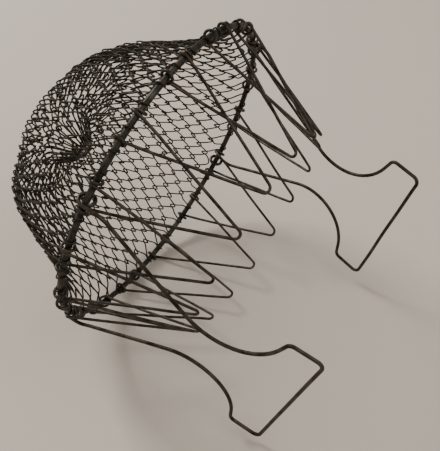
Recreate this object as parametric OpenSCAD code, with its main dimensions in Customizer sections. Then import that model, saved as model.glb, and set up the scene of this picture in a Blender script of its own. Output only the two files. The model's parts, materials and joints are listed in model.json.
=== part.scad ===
// Wire-net basket: a limp bowl of linked wavy wire rows hung from a round rim,
// a crown of hairpin loops that fold over the mouth, and two bail handles.
// Millimetres. +Z is the mouth's axis. The origin is on that axis, in the plane
// that the flattened bottom of the net rests on.

/* [Rim] */
// Radius of the rim ring, to the middle of its wire
rim_radius = 110; // [100:1:125]
// Radius of the rim wire
rim_wire_r = 2; // [1.8:0.1:2.2]

/* [Net bowl] */
// Height of the rim's centre above the flattened bottom of the net
bowl_depth = 82; // [76:1:84]
// Height of the dimple that the gathered middle makes in the bottom
dimple_height = 20; // [14:1:24]
// Sideways sag of the net's middle
net_sag = 26; // [0:1:28]
// Thickness of the band that stands for one row of wavy wire
row_thickness = 2; // [1.5:0.1:2.5]
// Waves round one row, and so hooks round the rim
wave_count = 48; // [32:16:48]
// Radius of the net wire
net_wire_r = 0.5; // [0.4:0.05:0.6]

/* [Hairpins] */
// Radius of the hairpin wire
pin_wire_r = 0.95; // [0.8:0.05:1]
// Half the angle on the rim between the two feet of one hairpin
pin_half_angle = 15.75; // [15:0.25:16.5]
// Height at which the straight legs of a hairpin would meet
pin_apex = 88; // [80:1:92]
// Bend radius at the tip of a hairpin
pin_tip_r = 3.2; // [2.5:0.1:4]
// Inward lean of a hairpin at rest
pin_lean = 21; // [18:1:24]
// Radius of a hairpin's eye, to the middle of its wire
pin_eye_r = 3.5; // [3.5:0.1:3.8]

/* [Handles] */
// Radius of the handle wire
bail_wire_r = 1.2; // [1:0.1:1.3]
// Half the angle on the rim between the two feet of one handle
bail_half_angle = 32.5; // [32:0.5:33]
// Height of the grip bar above the rim
grip_height = 147; // [130:1:155]
// Half the length of the grip bar, to the middle of its corners
grip_half = 53.5; // [50:0.5:62]
// Radius of a handle's eye, to the middle of its wire
bail_eye_r = 4.5; // [4.5:0.1:4.8]
// Inward lean of the handle at +X
right_lean = 3; // [0:1:8]
// Inward lean of the handle at -X
left_lean = 13; // [0:1:13]

/* [Hidden] */
$fn = 64;
ROWS = 18;                       // wavy rows from the rim to the gathered middle
PINS = 16;                       // hairpins round the rim
PIN_PITCH = 360 / PINS;
WAVE_PITCH = 360 / wave_count;
// Control points of the bowl's outer curve, [radius, drop below the rim] per rim radius
WAIST_PULL = [0.70, 0.10];
WALL_PULL = [0.73, 1.20];
FLOOR_PULL = [0.24, 0.70];
DIMPLE_RADIUS = 14;              // radius at which the dimple has lost most of its height
FIRST_ROW = 0.055;               // place on the curve of row 1's top, clear of the eyes
LONG_ROW = 0.80;                 // place where the last row starts, which is gathered in
LAST_ROW = 0.93;                 // place on the curve of the last row's inner edge
CURVE_STEP = 0.005;              // step for measuring along the curve
ROW_FILL = 0.68;                 // part of a row's step that its band covers
HOOK_R = rim_wire_r + net_wire_r + 0.35;   // hook, to the middle of its wire
HOOK_CLEAR = 1.9;                // degrees kept free of hooks beside a handle's foot
GATHER_WIRE_R = 1.1;
CURL = 280;                      // degrees of wire in a handle's eye
JOINT_SWELL = 1.04;              // a joint's bead is this much fatter than its wire
STEEL = [0.17, 0.14, 0.11];
NET_STEEL = [0.21, 0.18, 0.14];

// ---- Wire work -------------------------------------------------------------

// Closed ring of round wire, axis along Z
module wire_ring(ring_r, wire_r) {
  rotate_extrude() translate([ring_r, 0]) circle(r = wire_r);
}

// Straight wire between two points of the XZ plane
module wire_straight(from, to, wire_r) {
  step = to - from;
  translate([from.x, 0, from.y])
    rotate([0, atan2(step.x, step.y), 0])
      cylinder(r = wire_r, h = norm(step));
}

// Bead that welds two lengths of wire where they meet, with its poles on their run
module wire_joint(at, run, wire_r) {
  translate([at.x, 0, at.y]) rotate([0, atan2(run.x, run.y), 0]) sphere(r = wire_r * JOINT_SWELL);
}

// Wire bent about the corner of an outline in the XZ plane
module wire_bend(before, corner, after, bend_r, wire_r) {
  u = unit(before - corner);
  v = unit(after - corner);
  half = acos(u * v) / 2;
  centre = corner + unit(u + v) * bend_r / sin(half);
  start = corner + u * bend_r / tan(half) - centre;
  sweep = 180 - 2 * half;
  side = cross(u, v) > 0 ? -1 : 1;
  translate([centre.x, 0, centre.y])
    rotate([90, 0, 0]) rotate([0, 0, atan2(start.y, start.x) - (side < 0 ? sweep : 0)])
      rotate_extrude(angle = sweep) translate([bend_r, 0]) circle(r = wire_r);
}

// Wire that follows an outline in the XZ plane, with a bend at each inner point
module bent_wire(outline, bends, wire_r) {
  last = len(outline) - 1;
  for (i = [0 : last - 1])
    wire_straight(leave(outline, bends, i), arrive(outline, bends, i + 1), wire_r);
  for (i = [1 : last - 1]) {
    wire_bend(outline[i - 1], outline[i], outline[i + 1], bends[i], wire_r);
    wire_joint(arrive(outline, bends, i), outline[i] - outline[i - 1], wire_r);
    wire_joint(leave(outline, bends, i), outline[i + 1] - outline[i], wire_r);
  }
}

function unit(v) = v / norm(v);
function reverse(list) = [for (i = [len(list) - 1 : -1 : 0]) list[i]];
function mirrored(outline) = [for (p = reverse(outline)) [-p.x, p.y]];
// Length of straight wire that the bend at outline point i takes up
function trim(outline, bends, i) =
  (i == 0 || i == len(outline) - 1) ? 0
  : bends[i] / tan(acos(unit(outline[i - 1] - outline[i]) * unit(outline[i + 1] - outline[i])) / 2);
function leave(outline, bends, i) =
  outline[i] + unit(outline[i + 1] - outline[i]) * trim(outline, bends, i);
function arrive(outline, bends, i) =
  outline[i] + unit(outline[i - 1] - outline[i]) * trim(outline, bends, i);

// Places a piece hinged on the rim: X along the hinge chord, +Y outward, lean tips it inward
module on_rim(direction, half_angle, lean) {
  translate([0, 0, bowl_depth]) rotate([0, 0, direction - 90])
    translate([0, rim_radius * cos(half_angle), 0]) rotate([lean, 0, 0]) children();
}

// ---- Rim and net -----------------------------------------------------------

// Bowl's outer curve from the rim, 0, to the middle, 1: [radius, height]
function bowl_curve(t) =
  let (p = bezier([[1, 0] * rim_radius, WAIST_PULL * rim_radius, WALL_PULL * rim_radius,
                   FLOOR_PULL * rim_radius, [0, bowl_depth]], t))
  [p.x, bowl_depth - p.y + dimple_height * exp(-pow(p.x / DIMPLE_RADIUS, 2))];
function bezier(points, t) =
  len(points) == 1 ? points[0]
  : bezier([for (i = [0 : len(points) - 2]) points[i] * (1 - t) + points[i + 1] * t], t);
// Point at a depth inside the curve, flattened where the net rests on the table
function bowl_point(t, inset) =
  let (run = unit(bowl_curve(t + 0.001) - bowl_curve(t - 0.001)),
       p = bowl_curve(t) + inset * [run.y, -run.x])
  [p.x, max(p.y, inset)];
// Length along the curve from the first row's top, paired with the place it reaches
NET_RUN = [for (t = FIRST_ROW, run = 0; t < LONG_ROW + CURVE_STEP / 2;
                run = run + norm(bowl_curve(t + CURVE_STEP) - bowl_curve(t)), t = t + CURVE_STEP)
             [run, t]];
NET_LENGTH = NET_RUN[len(NET_RUN) - 1][0];
// Place on the curve of a row's top edge, with all the rows but the last equally long
function row_top(row) =
  row > ROWS ? LAST_ROW : lookup((row - 1) / (ROWS - 1) * NET_LENGTH, NET_RUN);
// Sideways sag of a place on the curve, none at the first row
function sag_at(t) = net_sag * (t - FIRST_ROW) / (1 - FIRST_ROW);

module rim_ring() color(STEEL) {
  translate([0, 0, bowl_depth]) wire_ring(rim_radius, rim_wire_r);
}

module gather_ring() color(STEEL) {
  translate([0, sag_at(LAST_ROW), bowl_curve(LAST_ROW).y + GATHER_WIRE_R])
    wire_ring(bowl_curve(LAST_ROW).x - GATHER_WIRE_R - 1, GATHER_WIRE_R);
}

// One row of the net as a thin closed band
module row_band(row) {
  pieces = 3;
  top = row_top(row);
  step = (row_top(row + 1) - top) * ROW_FILL / pieces;
  outer = [for (i = [0 : pieces]) bowl_point(top + i * step, 0)];
  inner = [for (i = [pieces : -1 : 0]) bowl_point(top + i * step, row_thickness)];
  translate([0, sag_at(top), 0]) rotate_extrude() polygon(concat(outer, inner));
}

// Angles of the first row's crests, which keep clear of the hairpins' feet
function crest_angle(i) = i * WAVE_PITCH + PIN_PITCH / 2;
function foot_gap(angle, foot) = abs((angle - foot + 540) % 360 - 180);
function clear_of_handles(angle) =
  min([for (side = [0, 180], foot = [-1, 1]) foot_gap(angle, side + foot * bail_half_angle)])
  > HOOK_CLEAR;

// Hook of net wire round the rim, with both its legs ending in the first row
module rim_hook() {
  foot = (bowl_point(FIRST_ROW, 0) + bowl_point(FIRST_ROW, row_thickness)) / 2
         - [rim_radius, bowl_depth] - [0, 1];
  toward = atan2(foot.y, foot.x);
  reach = acos(HOOK_R / norm(foot));       // where the legs leave the hook's arc
  translate([rim_radius, 0, bowl_depth]) {
    rotate([90, 0, 0]) rotate([0, 0, toward + reach])
      rotate_extrude(angle = 360 - 2 * reach) translate([HOOK_R, 0]) circle(r = net_wire_r);
    for (side = [-1, 1]) {
      parting = HOOK_R * [cos(toward + side * reach), sin(toward + side * reach)];
      wire_straight(parting, foot, net_wire_r);
      wire_joint(parting, foot - parting, net_wire_r);
    }
  }
}

module net_row_01() color(NET_STEEL) {
  row_band(1);
  for (i = [0 : wave_count - 1])
    if (clear_of_handles(crest_angle(i))) rotate([0, 0, crest_angle(i)]) rim_hook();
}

module net_row(row) color(NET_STEEL) row_band(row);

// ---- Hairpins and handles --------------------------------------------------

PIN_HALF = rim_radius * sin(pin_half_angle);
BAIL_HALF = rim_radius * sin(bail_half_angle);

// Hairpin: its right leg leaves its eye outside the rim and its left leg inside,
// so that neighbours cross without touching
module hairpin(number) color(STEEL) {
  leg_foot = norm([PIN_HALF, pin_eye_r]);
  on_rim((number - 1) * PIN_PITCH, pin_half_angle, pin_lean) {
    rotate([0, 0, atan(pin_eye_r / PIN_HALF)])
      bent_wire([[leg_foot, 0], [0, pin_apex], [-leg_foot, 0]], [0, pin_tip_r, 0], pin_wire_r);
    for (side = [-1, 1]) {
      translate([side * PIN_HALF, 0, 0]) rotate([0, 90, 0]) wire_ring(pin_eye_r, pin_wire_r);
      translate([side * PIN_HALF, side * pin_eye_r, 0]) sphere(r = pin_wire_r * JOINT_SWELL);
    }
  }
}

// Open curl of wire round the hinge, which starts at +Y and runs down and under the rim
module eye_curl(x) {
  translate([x, 0, 0]) {
    rotate([0, 90, 0]) rotate([0, 0, 90]) mirror([0, 1, 0])
      rotate_extrude(angle = CURL) translate([bail_eye_r, 0]) circle(r = bail_wire_r);
    translate([0, bail_eye_r, 0]) sphere(r = bail_wire_r * JOINT_SWELL);
  }
}

// Bail handle: legs that narrow to a waist, flare to shoulders and carry a straight grip bar
module bail_handle(direction, lean) color(STEEL) {
  knee = 9;
  waist = [-1.5, 112.4];
  shoulder = 21;
  half_outline = [[BAIL_HALF, 0], [BAIL_HALF, knee], waist,
                  [grip_half, grip_height - shoulder], [grip_half, grip_height]];
  half_bends = [0, 20, 35, 4, 6];
  on_rim(direction, bail_half_angle, lean) {
    translate([0, bail_eye_r, 0])
      bent_wire(concat(half_outline, mirrored(half_outline)),
                concat(half_bends, reverse(half_bends)), bail_wire_r);
    for (side = [-1, 1]) eye_curl(side * BAIL_HALF);
  }
}

rim_ring();
gather_ring();
net_row_01();
net_row(2);  // net_row_02
net_row(3);  // net_row_03
net_row(4);  // net_row_04
net_row(5);  // net_row_05
net_row(6);  // net_row_06
net_row(7);  // net_row_07
net_row(8);  // net_row_08
net_row(9);  // net_row_09
net_row(10);  // net_row_10
net_row(11);  // net_row_11
net_row(12);  // net_row_12
net_row(13);  // net_row_13
net_row(14);  // net_row_14
net_row(15);  // net_row_15
net_row(16);  // net_row_16
net_row(17);  // net_row_17
net_row(18);  // net_row_18
hairpin(1);  // hairpin_01
hairpin(2);  // hairpin_02
hairpin(3);  // hairpin_03
hairpin(4);  // hairpin_04
hairpin(5);  // hairpin_05
hairpin(6);  // hairpin_06
hairpin(7);  // hairpin_07
hairpin(8);  // hairpin_08
hairpin(9);  // hairpin_09
hairpin(10);  // hairpin_10
hairpin(11);  // hairpin_11
hairpin(12);  // hairpin_12
hairpin(13);  // hairpin_13
hairpin(14);  // hairpin_14
hairpin(15);  // hairpin_15
hairpin(16);  // hairpin_16
bail_handle(0, right_lean);  // handle_right
bail_handle(180, left_lean);  // handle_left
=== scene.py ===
# Wire-net basket lying on its side: a net of linked wavy wire rows on a rim ring,
# a crown of hairpins and two bail handles, each built as bent wire in mesh code.
import json
import math
import random

import bpy
import numpy as np
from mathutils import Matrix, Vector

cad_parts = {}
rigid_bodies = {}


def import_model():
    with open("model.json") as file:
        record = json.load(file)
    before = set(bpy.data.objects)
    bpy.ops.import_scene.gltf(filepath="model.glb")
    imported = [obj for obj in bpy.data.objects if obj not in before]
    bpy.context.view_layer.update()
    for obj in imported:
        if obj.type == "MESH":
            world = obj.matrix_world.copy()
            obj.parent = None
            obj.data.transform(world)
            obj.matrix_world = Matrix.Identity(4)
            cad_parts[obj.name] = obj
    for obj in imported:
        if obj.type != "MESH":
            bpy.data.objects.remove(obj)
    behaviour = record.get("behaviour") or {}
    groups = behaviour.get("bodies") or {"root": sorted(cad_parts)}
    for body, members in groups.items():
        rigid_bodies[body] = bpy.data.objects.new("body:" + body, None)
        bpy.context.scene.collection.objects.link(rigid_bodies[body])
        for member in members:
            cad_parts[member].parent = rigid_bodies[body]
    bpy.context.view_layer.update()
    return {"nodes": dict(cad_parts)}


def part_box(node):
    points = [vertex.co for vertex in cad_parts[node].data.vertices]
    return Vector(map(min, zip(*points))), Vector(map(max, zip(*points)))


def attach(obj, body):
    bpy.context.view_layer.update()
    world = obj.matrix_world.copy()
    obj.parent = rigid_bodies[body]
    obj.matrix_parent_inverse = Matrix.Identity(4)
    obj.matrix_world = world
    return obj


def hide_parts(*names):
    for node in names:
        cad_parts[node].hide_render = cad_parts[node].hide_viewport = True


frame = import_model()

MM = 0.001
UP = np.array([0.0, 0.0, 1.0])

# ---- Sizes, worked out from the frame --------------------------------------


def node_box(node):
    low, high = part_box(node)
    return np.array(low), np.array(high)


RIM_LOW, RIM_HIGH = node_box("rim_ring")
RIM_WIRE_R = (RIM_HIGH[2] - RIM_LOW[2]) / 2
RIM_Z = (RIM_HIGH[2] + RIM_LOW[2]) / 2
RIM_R = (RIM_HIGH[0] - RIM_LOW[0]) / 2 - RIM_WIRE_R
GATHER_LOW, GATHER_HIGH = node_box("gather_ring")
GATHER_CENTRE = (GATHER_LOW + GATHER_HIGH) / 2
GATHER_WIRE_R = (GATHER_HIGH[2] - GATHER_LOW[2]) / 2
GATHER_R = (GATHER_HIGH[0] - GATHER_LOW[0]) / 2 - GATHER_WIRE_R

ROWS = sum(1 for node in frame["nodes"] if node.startswith("net_row_"))
PINS = sum(1 for node in frame["nodes"] if node.startswith("hairpin_"))
PIN_PITCH = 2 * math.pi / PINS
WAVES = 48
WAVE_PITCH = 2 * math.pi / WAVES
FINE_ROWS = 15               # the rows nearer the middle have half as many waves
NET_WIRE_R = 0.54 * MM

# The bowl's curve, as in the CAD: [radius, drop below the rim] per rim radius
BOWL_POINTS = [(1, 0), (0.70, 0.10), (0.73, 1.20), (0.24, 0.70), (0, 0.7455)]
DIMPLE_HEIGHT, DIMPLE_RADIUS = 20 * MM, 14 * MM
LOWEST = -1 * MM             # the net flattens here, on a table
FIRST_ROW, LONG_ROW, LAST_ROW = 0.055, 0.80, 0.93
NET_SAG = 26 * MM

PIN_HALF_ANGLE = math.radians(15.75)
PIN_WIRE_R = 0.95 * MM
PIN_EYE_R = 3.7 * MM
PIN_APEX = 88 * MM
PIN_TIP_R = 3.2 * MM
PIN_LEAN = math.radians(21)
EYE_SHIFT = 0.23             # share of an eye's width on the leg's side of its foot
BAIL_HALF_ANGLE = math.radians(32.5)
BAIL_WIRE_R = 1.2 * MM
BAIL_EYE_R = 4.5 * MM
BAIL_KNEE = 9 * MM
BAIL_WAIST = (-1.5 * MM, 112.4 * MM)
BAIL_BENDS = [20 * MM, 35 * MM, 4 * MM, 4.5 * MM]
GRIP_HEIGHT, GRIP_HALF, SHOULDER = 147 * MM, 53.5 * MM, 21 * MM

# ---- Curves ----------------------------------------------------------------


def unit(v):
    return v / np.linalg.norm(v)


def spin(points, axis, angle):
    """Points turned about an axis through the origin."""
    points = np.atleast_2d(points)
    axis = unit(np.asarray(axis, float))
    c, s = math.cos(angle), math.sin(angle)
    along = np.outer(points @ axis, axis)
    return points * c + np.cross(axis, points) * s + along * (1 - c)


def smooth_through(points, steps, closed=False):
    """Catmull-Rom curve through points, with so many steps between each pair."""
    points = np.asarray(points, float)
    if closed:
        padded = np.vstack([points[-1:], points, points[:2]])
    else:
        first = 2 * points[0] - points[1]
        last = 2 * points[-1] - points[-2]
        padded = np.vstack([first, points, last])
    p0, p1, p2, p3 = padded[:-3], padded[1:-2], padded[2:-1], padded[3:]
    t = (np.arange(steps) / steps)[None, :, None]
    p0, p1, p2, p3 = (p[:, None, :] for p in (p0, p1, p2, p3))
    curve = 0.5 * (2 * p1 + (p2 - p0) * t + (2 * p0 - 5 * p1 + 4 * p2 - p3) * t ** 2
                   + (3 * p1 - p0 - 3 * p2 + p3) * t ** 3)
    curve = curve.reshape(-1, 3)
    return curve if closed else np.vstack([curve, points[-1:]])


def bent_outline(corners, bends, spacing=4 * MM, arc_steps=8):
    """Plane outline with a round bend at each inner corner, as a list of points."""
    corners = [np.asarray(c, float) for c in corners]
    points = [corners[0]]
    for before, corner, after, bend in zip(corners, corners[1:], corners[2:], bends):
        u, v = unit(before - corner), unit(after - corner)
        half = math.acos(float(u @ v)) / 2
        centre = corner + unit(u + v) * bend / math.sin(half)
        start = corner + u * bend / math.tan(half) - centre
        end = corner + v * bend / math.tan(half) - centre
        a0, a1 = math.atan2(start[1], start[0]), math.atan2(end[1], end[0])
        turn = (a1 - a0 + math.pi) % (2 * math.pi) - math.pi
        steps = max(arc_steps, int(abs(turn) * bend / spacing))
        points += straight(points[-1], centre + start, spacing)
        points += [centre + bend * np.array([math.cos(a0 + turn * i / steps),
                                             math.sin(a0 + turn * i / steps)])
                   for i in range(1, steps + 1)]
    points += straight(points[-1], corners[-1], spacing)
    return np.array(points)


def straight(start, end, spacing):
    count = max(1, int(np.linalg.norm(end - start) / spacing))
    return [start + (end - start) * i / count for i in range(1, count + 1)]


# ---- Wire meshes -----------------------------------------------------------


def wire_frames(points, closed):
    """Side and up vectors that turn as little as possible along a wire."""
    ahead = np.roll(points, -1, 0) - np.roll(points, 1, 0)
    if not closed:
        ahead[0] = points[1] - points[0]
        ahead[-1] = points[-1] - points[-2]
    ahead /= np.linalg.norm(ahead, axis=1)[:, None]
    first = np.cross(ahead[0], UP if abs(ahead[0][2]) < 0.9 else np.array([1.0, 0, 0]))
    sides = [unit(first)]
    for direction in ahead[1:]:
        side = sides[-1] - direction * (sides[-1] @ direction)
        sides.append(unit(side))
    sides = np.array(sides)
    if closed:
        last = sides[-1] - ahead[0] * (sides[-1] @ ahead[0])
        gap = math.atan2(float(np.cross(last, sides[0]) @ ahead[0]), float(last @ sides[0]))
        turns = np.linspace(0, gap, len(points))
        ups = np.cross(ahead, sides)
        sides = sides * np.cos(turns)[:, None] + ups * np.sin(turns)[:, None]
    return sides, np.cross(ahead, sides)


def wire(name, points, radius, material, body, node, sides=8, closed=False):
    """One mesh of round wire along points, in place of a CAD node."""
    turns = np.arange(sides) * 2 * math.pi / sides
    across, up = wire_frames(points, closed)
    ring = (np.cos(turns)[None, :, None] * across[:, None, :]
            + np.sin(turns)[None, :, None] * up[:, None, :])
    vertices = (points[:, None, :] + ring * radius).reshape(-1, 3)
    total, faces = len(points), []
    for i in range(total if closed else total - 1):
        a, b = i * sides, (i + 1) % total * sides
        faces += [(a + j, a + (j + 1) % sides, b + (j + 1) % sides, b + j)
                  for j in range(sides)]
    if not closed:
        faces.append(tuple(reversed(range(sides))))
        faces.append(tuple((total - 1) * sides + j for j in range(sides)))
    mesh = bpy.data.meshes.new(name)
    mesh.from_pydata(vertices.tolist(), [], faces)
    mesh.polygons.foreach_set("use_smooth", [len(p.vertices) == 4 for p in mesh.polygons])
    mesh.update()
    piece = bpy.data.objects.new(name, mesh)
    bpy.context.scene.collection.objects.link(piece)
    mesh.materials.append(material)
    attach(piece, body)
    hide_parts(node)
    return piece


def wander(points, amount, wavelength, seed):
    """Slow smooth irregularity, as in wire bent by hand."""
    dice = np.random.RandomState(seed)
    shift = np.zeros_like(points)
    for octave in range(3):
        waves = dice.normal(size=(3, 3)) * 2 * math.pi / wavelength / math.sqrt(3)
        phase = dice.uniform(0, 2 * math.pi, 3)
        shift += np.sin(points @ waves.T * (1 + octave * 0.7) + phase) / (1 + octave)
    return points + amount * shift


# ---- Materials -------------------------------------------------------------


def noise(tree, scale, detail, rough=0.6):
    node = tree.nodes.new("ShaderNodeTexNoise")
    node.inputs["Scale"].default_value = scale
    node.inputs["Detail"].default_value = detail
    node.inputs["Roughness"].default_value = rough
    tree.links.new(tree.nodes["place"].outputs["Object"], node.inputs["Vector"])
    return node.outputs["Fac"]


def ramp(tree, source, low, high, colours):
    node = tree.nodes.new("ShaderNodeValToRGB")
    for element, position, colour in zip(node.color_ramp.elements, (low, high), colours):
        element.position, element.color = position, (*colour, 1)
    tree.links.new(source, node.inputs["Fac"])
    return node.outputs["Color"]


def spread(tree, source, low, high):
    """Numbers from 0 to 1 stretched to run from low to high."""
    node = tree.nodes.new("ShaderNodeMapRange")
    node.inputs["To Min"].default_value = low
    node.inputs["To Max"].default_value = high
    tree.links.new(source, node.inputs["Value"])
    return node.outputs["Result"]


def rough_surface(tree, grain):
    node = tree.nodes.new("ShaderNodeBump")
    node.inputs["Strength"].default_value = 0.35
    node.inputs["Distance"].default_value = 0.12 * MM
    tree.links.new(noise(tree, grain, 6, 0.7), node.inputs["Height"])
    return node.outputs["Normal"]


def steel(name, dark, light, rust, rust_amount, roughness, grain=900, metallic=0.8):
    """Old bare steel wire: brown-black oxide, rubbed lighter in places, with some rust."""
    material = bpy.data.materials.new(name)
    material.use_nodes = True
    tree = material.node_tree
    tree.nodes.clear()
    add, link = tree.nodes.new, tree.links.new
    output, shader = add("ShaderNodeOutputMaterial"), add("ShaderNodeBsdfPrincipled")
    add("ShaderNodeTexCoord").name = "place"
    oxide = ramp(tree, noise(tree, grain * 0.16, 6), 0.36, 0.66, (dark, light))
    patch = ramp(tree, noise(tree, grain * 0.05, 4), 0.62 - rust_amount, 0.74 - rust_amount,
                 ((0, 0, 0), (1, 1, 1)))
    mix = add("ShaderNodeMix")
    mix.data_type = "RGBA"
    mix.inputs["B"].default_value = (*rust, 1)
    shine = spread(tree, noise(tree, grain * 0.4, 5), roughness - 0.12, roughness + 0.2)
    for source, target in ((patch, mix.inputs["Factor"]), (oxide, mix.inputs["A"]),
                           (mix.outputs["Result"], shader.inputs["Base Color"]),
                           (shine, shader.inputs["Roughness"]),
                           (spread(tree, patch, metallic, metallic * 0.35),
                            shader.inputs["Metallic"]),
                           (rough_surface(tree, grain), shader.inputs["Normal"]),
                           (shader.outputs["BSDF"], output.inputs["Surface"])):
        link(source, target)
    return material


HANDLE_STEEL = steel("handle_steel", (0.014, 0.012, 0.009), (0.080, 0.070, 0.054),
                     (0.050, 0.034, 0.020), 0.04, 0.36)
PIN_STEEL = steel("hairpin_steel", (0.015, 0.013, 0.010), (0.085, 0.074, 0.058),
                  (0.052, 0.036, 0.022), 0.05, 0.38)
RIM_STEEL = steel("rim_steel", (0.010, 0.010, 0.008), (0.070, 0.066, 0.054),
                  (0.040, 0.028, 0.018), 0.05, 0.44)
NET_STEEL = steel("net_steel", (0.009, 0.008, 0.006), (0.050, 0.043, 0.032),
                  (0.036, 0.025, 0.016), 0.05, 0.46, grain=1300)

# ---- Net -------------------------------------------------------------------


def bowl_curve(t):
    """Radius and height of the bowl's curve at places t from the rim, 0, to the middle, 1."""
    t = np.asarray(t, float)[..., None]
    points = [np.array(p) * RIM_R + 0 * t for p in BOWL_POINTS]
    while len(points) > 1:
        points = [a * (1 - t) + b * t for a, b in zip(points, points[1:])]
    radius, drop = points[0][..., :1], points[0][..., 1:]
    dimple = DIMPLE_HEIGHT * np.exp(-(radius / DIMPLE_RADIUS) ** 2)
    return np.concatenate([radius, np.maximum(RIM_Z - drop + dimple, LOWEST)], -1)


def row_top(row):
    """Place of a row's top edge: all the rows but the last are equally long on the curve."""
    if row > ROWS:
        return LAST_ROW
    places = np.linspace(FIRST_ROW, LONG_ROW, 150)
    steps = np.linalg.norm(np.diff(bowl_curve(places), axis=0), axis=1)
    run = np.concatenate([[0], np.cumsum(steps)])
    return float(np.interp((row - 1) / (ROWS - 1) * run[-1], run, places))


def on_bowl(t, turn, out):
    """Points at places t down the bowl, angles turn round it and heights out of its surface."""
    step = 0.002
    run = bowl_curve(t + step) - bowl_curve(t - step)
    run /= np.linalg.norm(run, axis=-1)[:, None]
    place = bowl_curve(t) + out[:, None] * np.stack([-run[:, 1], run[:, 0]], -1)
    sag = NET_SAG * (t - FIRST_ROW) / (1 - FIRST_ROW)
    points = np.stack([place[:, 0] * np.cos(turn), place[:, 0] * np.sin(turn) + sag,
                       place[:, 1]], -1)
    return points


HOOK_R = RIM_WIRE_R + NET_WIRE_R + 0.15 * MM
LINK_LAP = 2.0 * MM          # how far the bends of linked rows pass their shared line
WEAVE = 0.8 * MM             # how far rising and falling strands lie from the net's surface
SHINGLE = 1.1 * MM           # how far a row's lower bends stand out and its upper ones in
WAVE_STEPS = 20
STRAIGHTEN = 0.17            # 0 is a sine wave, 0.27 is nearly a zigzag with sharp corners


def crumple(points, t, seed):
    """Uneven sag that neighbouring rows share, and each wave's own small error."""
    free = np.clip((t - FIRST_ROW) / 0.25, 0, 1)[:, None]
    moved = wander(points, 0.9 * MM, 55 * MM, 7)
    moved = wander(moved, 0.28 * MM, 9 * MM, seed)
    return points + (moved - points) * free


def wave_angles(row):
    """Angles of a row's crests, where it hangs from the row above."""
    dice = random.Random(40 + row)
    fine = row <= FINE_ROWS
    pitch = WAVE_PITCH if fine else 2 * WAVE_PITCH
    shift = (row - 1) % 2 / 2 if fine else 0.25 + (row - FINE_ROWS - 1) % 2 / 2
    start = PIN_PITCH / 2 + shift * pitch
    uneven = 0.07 if row > 1 else 0.02
    waves = round(2 * math.pi / pitch)
    return [start + (i + dice.uniform(-uneven, uneven)) * pitch for i in range(waves)]


def bowl_speed(t):
    step = 0.01
    return np.linalg.norm(bowl_curve(t + step) - bowl_curve(t - step), axis=-1) / 2 / step


def net_row(row):
    """Closed wavy wire: falling strands lie outside and rising strands inside."""
    top, bottom = row_top(row), row_top(row + 1)
    lap_top = LINK_LAP / bowl_speed(np.array(top))
    lap_bottom = LINK_LAP / bowl_speed(np.array(bottom))
    crests = np.array(wave_angles(row))
    step = np.arange(WAVE_STEPS) * 2 * math.pi / WAVE_STEPS
    waves = len(crests)
    phase = np.tile(step, waves)
    wave = np.repeat(np.arange(waves), WAVE_STEPS)
    following = np.append(crests[1:], crests[0] + 2 * math.pi)
    along = (phase - STRAIGHTEN * np.sin(2 * phase)) / 2 / math.pi
    turn = crests[wave] + (following - crests)[wave] * along
    dice = np.random.RandomState(90 + row)
    reach = 1 + 0.05 * dice.uniform(-1, 1, waves)[wave]
    middle = (top - lap_top + bottom + lap_bottom) / 2
    half = (bottom + lap_bottom - top + lap_top) / 2
    t = middle - half * np.cos(phase) * reach
    points = on_bowl(t, turn, WEAVE * np.sin(phase) - SHINGLE * np.cos(phase) - 1 * MM)
    return crumple(points, t, 200 + row)


def handle_foot_near(turn):
    feet = [side + foot * BAIL_HALF_ANGLE for side in (0, math.pi) for foot in (-1, 1)]
    gaps = [abs((turn - foot + math.pi) % (2 * math.pi) - math.pi) for foot in feet]
    return min(gaps) < math.radians(1.7)


def round_rim(turn, around):
    """Point of a hook, at an angle round the rim wire's section from its outer side."""
    reach = RIM_R + HOOK_R * math.cos(around)
    return [reach * math.cos(turn), reach * math.sin(turn), RIM_Z + HOOK_R * math.sin(around)]


def rim_row():
    """First row: each crest is a hook over the rim ring."""
    bottom = row_top(2) + LINK_LAP / float(bowl_speed(np.array(row_top(2))))
    middle = (FIRST_ROW + bottom) / 2

    def on_net(turn, t, out):
        return on_bowl(np.array([t]), np.array([turn]), np.array([out - 1 * MM]))[0].tolist()

    keys = []
    for crest in wave_angles(1):
        def at(part):
            return crest + part * WAVE_PITCH

        keys += [on_net(at(-0.5), bottom, 0), on_net(at(-0.34), middle, -WEAVE),
                 on_net(at(-0.17), FIRST_ROW, -WEAVE)]
        if handle_foot_near(crest):
            keys += [on_net(at(0), FIRST_ROW, 0)]
        else:
            keys += [round_rim(at(part), math.radians(around))
                     for part, around in ((-0.10, 175), (-0.04, 120), (0.03, 60), (0.08, 0),
                                          (0.11, -50))]
        keys += [on_net(at(0.18), FIRST_ROW + 0.01, WEAVE), on_net(at(0.34), middle, WEAVE)]
    return smooth_through(keys, 4, closed=True)


def gathered_row():
    """Last row: long strands, whose inner bends are strung on the gathering ring."""
    top = row_top(ROWS) - LINK_LAP / float(bowl_speed(np.array(row_top(ROWS))))
    inner = GATHER_R - GATHER_WIRE_R
    dice = random.Random(5)
    keys = []
    for crest in wave_angles(ROWS):
        for part, t, out in ((0, top, 0), (0.16, top + 0.012, 0.6), (0.3, 0.84, 0.9),
                             (0.4, 0.90, 1.2), (0.5, None, 0), (0.6, 0.90, -1.2),
                             (0.7, 0.84, -0.9), (0.84, top + 0.012, -0.6)):
            turn = crest + (part + dice.uniform(-0.03, 0.03)) * 2 * WAVE_PITCH
            if t is None:
                keys.append(GATHER_CENTRE + inner * np.array([math.cos(turn), math.sin(turn), 0]))
            else:
                keys.append(on_bowl(np.array([t]), np.array([turn]),
                                    np.array([out - 1]) * MM)[0])
    return smooth_through(np.array(keys), 4, closed=True)


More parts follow.
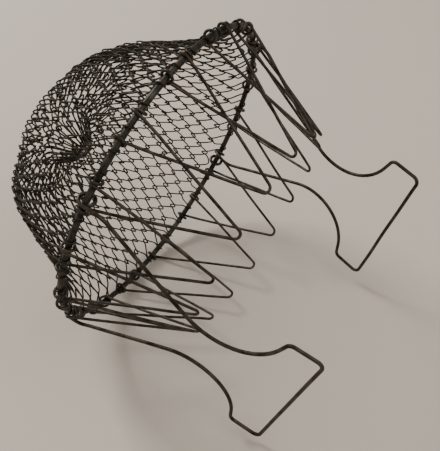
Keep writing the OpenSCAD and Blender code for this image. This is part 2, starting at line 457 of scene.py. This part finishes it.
def ring_points(centre, radius, count):
    turn = np.arange(count) * 2 * math.pi / count
    return centre + radius * np.stack([np.cos(turn), np.sin(turn), 0 * turn], -1)


def build_net():
    for row in range(1, ROWS + 1):
        points = rim_row() if row == 1 else gathered_row() if row == ROWS else net_row(row)
        piece = wire(f"net_row_{row:02d}_wire", points, NET_WIRE_R, NET_STEEL, "basket",
                     f"net_row_{row:02d}", sides=6, closed=True)
    gather = wander(ring_points(GATHER_CENTRE, GATHER_R, 48), 0.3 * MM, 9 * MM, 3)
    rim = wander(ring_points(np.array([0, 0, RIM_Z]), RIM_R, 360), 0.05 * MM, 40 * MM, 4)
    for node, ring, radius in (("gather_ring", gather, GATHER_WIRE_R),
                               ("rim_ring", rim, RIM_WIRE_R)):
        piece = wire(node + "_wire", ring, radius, RIM_STEEL, "basket", node, sides=14,
                     closed=True)


# ---- Hairpins and handles --------------------------------------------------


def on_rim(points, direction, half_angle, lean):
    """Moves points from a hinge's frame, X along it and +Y outward, to the basket's frame."""
    points = spin(points, (1, 0, 0), lean)
    points = points + [0, RIM_R * math.cos(half_angle), 0]
    return spin(points, (0, 0, 1), direction - math.pi / 2) + [0, 0, RIM_Z]


def eye(x, start_y, radius, turns, pitch, steps=16):
    """Curl of wire round the hinge axis, from (x, start_y, 0) downwards."""
    side = math.copysign(1, x)
    around = np.linspace(0, turns * 2 * math.pi, int(turns * steps) + 1)
    drift = (around / 2 / math.pi - turns * EYE_SHIFT) * pitch
    return np.stack([x + side * drift, start_y * np.cos(around), -radius * np.sin(around)], -1)


def bend_freely(points, amount, wavelength, seed, fixed_height):
    """Hand-bent irregularity that dies away towards the eyes."""
    free = np.clip(points[:, 2] / fixed_height, 0, 1)[:, None] ** 2
    return points + (wander(points, amount, wavelength, seed) - points) * free


def hairpin(number):
    dice = random.Random(600 + number)
    half = RIM_R * math.sin(PIN_HALF_ANGLE)
    foot = math.hypot(half, PIN_EYE_R)
    apex = PIN_APEX * (1 + dice.uniform(-0.015, 0.012))
    flat = bent_outline([(foot, 0), (0, apex), (-foot, 0)], [PIN_TIP_R])
    legs = np.stack([flat[:, 0], 0 * flat[:, 0], flat[:, 1]], -1)
    legs = spin(legs, (0, 0, 1), math.atan(PIN_EYE_R / half))
    legs = bend_freely(legs, 0.2 * MM, 70 * MM, 340 + number, 30 * MM)
    first = eye(half, PIN_EYE_R, PIN_EYE_R, 1.1, 1.95 * MM)[::-1]
    last = eye(-half, -PIN_EYE_R, PIN_EYE_R, 1.1, 1.95 * MM)
    path = np.vstack([first[:-1], shifted_feet(legs, first[-1], last[0]), last[1:]])
    lean = PIN_LEAN + math.radians(dice.uniform(-0.4, 0.4))
    path = on_rim(path, (number - 1) * PIN_PITCH, PIN_HALF_ANGLE, lean)
    piece = wire(f"hairpin_{number:02d}_wire", path, PIN_WIRE_R, PIN_STEEL,
                 f"hairpin_{number:02d}", f"hairpin_{number:02d}", sides=10)


def shifted_feet(legs, first, last):
    """Legs whose two ends are moved onto the starts of their eyes."""
    reach = np.clip(1 - legs[:, 2] / (15 * MM), 0, 1)[:, None]
    right = legs[:, :1] > 0
    return legs + reach * np.where(right, first - legs[0], last - legs[-1])


def handle(name, direction, lean, skew, seed):
    half = RIM_R * math.sin(BAIL_HALF_ANGLE)
    corners = [(half, 0), (half, BAIL_KNEE), BAIL_WAIST, (GRIP_HALF, GRIP_HEIGHT - SHOULDER),
               (GRIP_HALF, GRIP_HEIGHT)]
    outline = corners + [(-x, y) for x, y in reversed(corners)]
    flat = bent_outline(outline, BAIL_BENDS + BAIL_BENDS[::-1])
    legs = np.stack([flat[:, 0], 0 * flat[:, 0] + BAIL_EYE_R, flat[:, 1]], -1)
    legs = bend_freely(legs, 0.3 * MM, 160 * MM, seed, 30 * MM)
    legs[:, 0], legs[:, 2] = (legs[:, 0] * math.cos(skew) - legs[:, 2] * math.sin(skew),
                              legs[:, 2] * math.cos(skew) + legs[:, 0] * math.sin(skew))
    first = eye(half, BAIL_EYE_R, BAIL_EYE_R, 0.88, 1.0 * MM)[::-1]
    last = eye(-half, BAIL_EYE_R, BAIL_EYE_R, 0.88, 1.0 * MM)
    path = np.vstack([first[:-1], shifted_feet(legs, first[-1], last[0]), last[1:]])
    path = on_rim(path, direction, BAIL_HALF_ANGLE, lean)
    piece = wire(name + "_wire", path, BAIL_WIRE_R, HANDLE_STEEL, name, name, sides=14)


def build_wires():
    for number in range(1, PINS + 1):
        hairpin(number)
    handle("handle_right", 0, math.radians(3), math.radians(3.4), 21)
    handle("handle_left", math.pi, math.radians(13), 0, 22)


# ---- Stage, light and camera -----------------------------------------------

LIE_TILT = math.radians(18)            # the basket lies with its mouth dipping this much
TABLE_UP = np.array([0.0, -math.cos(LIE_TILT), -math.sin(LIE_TILT)])
RIM_CENTRE = np.array([0.0, 0.0, RIM_Z])
CAMERA_AT = RIM_CENTRE + RIM_R * np.array([2.614, -3.118, 1.141])
CAMERA_AIM = RIM_CENTRE + RIM_R * np.array([0.08, 0.031, 0.458])
CAMERA_ROLL = math.radians(3.4)
CAMERA_LENS, CAMERA_SENSOR = 54.3, 36.0


def matrix_from(axes, origin):
    from mathutils import Matrix
    matrix = Matrix.Identity(4)
    for column, axis in enumerate(list(axes) + [origin]):
        for line in range(3):
            matrix[line][column] = float(axis[line])
    return matrix


def table_axes():
    """Right, away and up on the table, as the camera sees it."""
    ahead = unit(CAMERA_AIM - CAMERA_AT)
    away = unit(ahead - TABLE_UP * (ahead @ TABLE_UP))
    return np.cross(away, TABLE_UP), away, TABLE_UP


def floor_material():
    material = bpy.data.materials.new("pale_floor")
    material.use_nodes = True
    tree = material.node_tree
    tree.nodes.clear()
    add, link = tree.nodes.new, tree.links.new
    output, mix = add("ShaderNodeOutputMaterial"), add("ShaderNodeMixShader")
    front, back = add("ShaderNodeBsdfDiffuse"), add("ShaderNodeBsdfTransparent")
    front.inputs["Color"].default_value = (0.60, 0.55, 0.49, 1)
    facing = add("ShaderNodeNewGeometry")
    link(facing.outputs["Backfacing"], mix.inputs["Fac"])
    link(front.outputs["BSDF"], mix.inputs[1])
    link(back.outputs["BSDF"], mix.inputs[2])
    link(mix.outputs["Shader"], output.inputs["Surface"])
    return material


def lowest_on_table():
    lowest = 1e9
    for piece in bpy.context.scene.objects:
        if piece.type == "MESH" and piece.name.endswith("_wire"):
            places = np.empty(len(piece.data.vertices) * 3)
            piece.data.vertices.foreach_get("co", places)
            lowest = min(lowest, float((places.reshape(-1, 3) @ TABLE_UP).min()))
    return lowest


def build_floor():
    right, away, up = table_axes()
    centre = up * lowest_on_table()
    size = 3.0
    mesh = bpy.data.meshes.new("floor")
    corners = [centre + size * (x * right + y * away) for x, y in
               ((-1, -1), (1, -1), (1, 1), (-1, 1))]
    mesh.from_pydata([tuple(c) for c in corners], [], [(0, 1, 2, 3)])
    floor = bpy.data.objects.new("floor", mesh)
    bpy.context.scene.collection.objects.link(floor)
    mesh.materials.append(floor_material())


def area_light(name, sideways, away, height, size, energy, colour):
    right_axis, away_axis, up_axis = table_axes()
    place = RIM_CENTRE + sideways * right_axis + away * away_axis + height * up_axis
    data = bpy.data.lights.new(name, "AREA")
    data.shape, data.size, data.energy, data.color = "DISK", size, energy, colour
    light = bpy.data.objects.new(name, data)
    back = unit(place - RIM_CENTRE)
    side = unit(np.cross(away_axis, back))
    light.matrix_world = matrix_from((side, np.cross(back, side), back), place)
    bpy.context.scene.collection.objects.link(light)


def build_light():
    area_light("key_light", -0.9, 0.9, 1.3, 0.55, 26, (1.0, 0.96, 0.90))
    area_light("fill_light", 0.9, -0.6, 1.2, 1.2, 7, (1.0, 0.97, 0.93))
    world = bpy.data.worlds.new("pale_world")
    world.use_nodes = True
    background = world.node_tree.nodes["Background"]
    background.inputs["Color"].default_value = (0.86, 0.80, 0.73, 1)
    background.inputs["Strength"].default_value = 0.55
    bpy.context.scene.world = world


def build_camera():
    ahead = unit(CAMERA_AIM - CAMERA_AT)
    up = unit(TABLE_UP - ahead * (TABLE_UP @ ahead))
    up = spin(up, ahead, CAMERA_ROLL)[0]
    data = bpy.data.cameras.new("camera")
    data.lens, data.sensor_width = CAMERA_LENS, CAMERA_SENSOR
    data.clip_start, data.clip_end = 0.01, 20
    camera = bpy.data.objects.new("camera", data)
    camera.matrix_world = matrix_from((np.cross(ahead, up), up, -ahead), CAMERA_AT)
    bpy.context.scene.collection.objects.link(camera)
    bpy.context.scene.camera = camera


build_net()
build_wires()
build_floor()
build_light()
build_camera()
